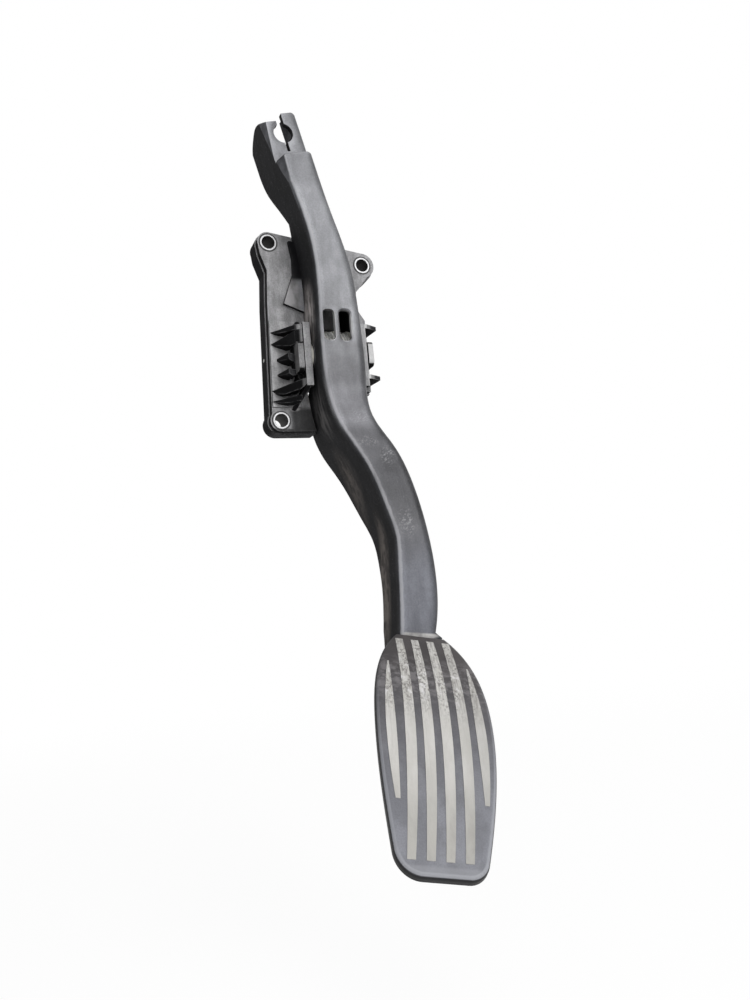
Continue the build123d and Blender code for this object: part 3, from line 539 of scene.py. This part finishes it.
dress(arm_paint(), "pedal_arm")
dress(bracket_paint(), "bracket")
dress(pad_paint(), "tread_pad")
strips = ("1", "2", "3", "4", "left", "right")
dress(strip_paint(), *("tread_strip_" + end for end in strips))
for end in ("upper_left", "lower_left", "upper_right"):
    low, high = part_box("sleeve_" + end)
    centre = (low + high) / 2
    pale = (0.62, 0.62, 0.63)
    steel = turned_steel("sleeve_steel_" + end, pale, centre, Y_AXIS, 0.60, SLEEVE_BORE)
    dress(steel, "sleeve_" + end)
low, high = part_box("pivot_pin")
steel = turned_steel("pin_steel", (0.50, 0.50, 0.50), (low + high) / 2, X_AXIS, 0.30)
dress(steel, "pivot_pin")
dress(spring_paint(), "return_spring_left", "return_spring_right")
dress(
    bush_paint(),
    "pivot_bush_left",
    "pivot_bush_right",
    "thrust_washer_left",
    "thrust_washer_right",
    "spring_spool",
)

# Each spring is copied into a mesh of its own, and its CAD node is hidden.
for side in ("left", "right"):
    node = "return_spring_" + side
    spring = bpy.data.objects.new("wound_spring_" + side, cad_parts[node].data.copy())
    scene.collection.objects.link(spring)
    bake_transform(spring)
    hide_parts(node)


def seen_ray(tree):
    """1 for rays that show the background: from the camera, or by gloss or glass."""
    path = tree.nodes.new("ShaderNodeLightPath")
    total = path.outputs["Is Camera Ray"]
    for kind in ("Is Glossy Ray", "Is Transmission Ray"):
        node = tree.nodes.new("ShaderNodeMath")
        node.operation = "MAXIMUM"
        tree.links.new(total, node.inputs[0])
        tree.links.new(path.outputs[kind], node.inputs[1])
        total = node.outputs[0]
    return total


def make_world():
    """White where it is seen, and a weaker even fill where it only lights."""
    world = bpy.data.worlds.new("studio")
    world.use_nodes = True
    tree = world.node_tree
    background = tree.nodes["Background"]
    background.inputs["Color"].default_value = (1, 1, 1, 1)
    strength = tree.nodes.new("ShaderNodeMapRange")
    tree.links.new(seen_ray(tree), strength.inputs["Value"])
    strength.inputs["To Min"].default_value = WORLD_FILL
    strength.inputs["To Max"].default_value = 1.0
    tree.links.new(strength.outputs[0], background.inputs["Strength"])
    scene.world = world


def floor_paper():
    """White paper that shows the soft shadow near the object and glows white further off."""
    material = bpy.data.materials.new("floor_paper")
    material.use_nodes = True
    tree = material.node_tree
    shader = tree.nodes["Principled BSDF"]
    shader.inputs["Base Color"].default_value = (1, 1, 1, 1)
    shader.inputs["Roughness"].default_value = 0.9
    shader.inputs["Specular IOR Level"].default_value = 0.0
    glow = tree.nodes.new("ShaderNodeEmission")
    place = tree.nodes.new("ShaderNodeTexCoord")
    away = tree.nodes.new("ShaderNodeVectorMath")
    away.operation = "LENGTH"
    tree.links.new(place.outputs["Object"], away.inputs[0])
    white = tree.nodes.new("ShaderNodeMapRange")
    white.interpolation_type = "SMOOTHSTEP"
    tree.links.new(away.outputs["Value"], white.inputs["Value"])
    white.inputs["From Min"].default_value = 0.15
    white.inputs["From Max"].default_value = 0.8
    white.inputs["To Min"].default_value = 0.92
    white.inputs["To Max"].default_value = 1.0
    share = tree.nodes.new("ShaderNodeMath")
    share.operation = "MULTIPLY"
    tree.links.new(seen_ray(tree), share.inputs[0])
    tree.links.new(white.outputs[0], share.inputs[1])
    mix = tree.nodes.new("ShaderNodeMixShader")
    tree.links.new(share.outputs[0], mix.inputs[0])
    tree.links.new(shader.outputs[0], mix.inputs[1])
    tree.links.new(glow.outputs[0], mix.inputs[2])
    tree.links.new(mix.outputs[0], tree.nodes["Material Output"].inputs["Surface"])
    return material


def make_floor(height, half):
    mesh = bpy.data.meshes.new("floor")
    corners = [(x * half, y * half, 0) for x, y in ((-1, -1), (1, -1), (1, 1), (-1, 1))]
    mesh.from_pydata(corners, [], [(0, 1, 2, 3)])
    mesh.materials.append(floor_paper())
    floor = bpy.data.objects.new("floor", mesh)
    floor.location.z = height
    scene.collection.objects.link(floor)


def lamp(name, direction, distance, width, height, watts):
    """A soft rectangular lamp in a direction from the object, turned to face it."""
    data = bpy.data.lights.new(name, "AREA")
    data.shape = "RECTANGLE"
    data.size = width
    data.size_y = height
    data.energy = watts
    light = bpy.data.objects.new(name, data)
    scene.collection.objects.link(light)
    away = Vector(direction).normalized()
    light.location = MIDDLE + away * distance
    light.rotation_euler = away.to_track_quat("Z", "Y").to_euler()


def make_camera():
    """A camera low and to the left, looking slightly up and to the right."""
    right = Vector((0.9271, -0.3647, -0.0867))
    up = Vector((0.0418, -0.1292, 0.9907))
    forward = Vector((0.3725, 0.9221, 0.1045))
    data = bpy.data.cameras.new("camera")
    data.lens = 28.8
    data.sensor_width = 36.0
    data.clip_start = 0.01
    camera = bpy.data.objects.new("camera", data)
    scene.collection.objects.link(camera)
    turn = Matrix((right, up, -forward)).transposed().to_4x4()
    camera.matrix_world = Matrix.Translation(CAMERA_PLACE) @ turn
    scene.camera = camera


make_world()
make_floor(FLOOR_HEIGHT, FLOOR_HALF)
lamp("key", (0.27, -0.90, 0.29), 1.2, 0.60, 0.38, 9.0)
lamp("overhead", (0.28, -0.25, 0.93), 1.0, 0.5, 0.5, 2.6)
lamp("left_strip", (-0.50, -0.80, 0.30), 1.2, 0.12, 0.6, 2.4)
lamp("back", (0.45, 0.85, 0.30), 1.2, 0.6, 0.6, 4.0)
make_camera()
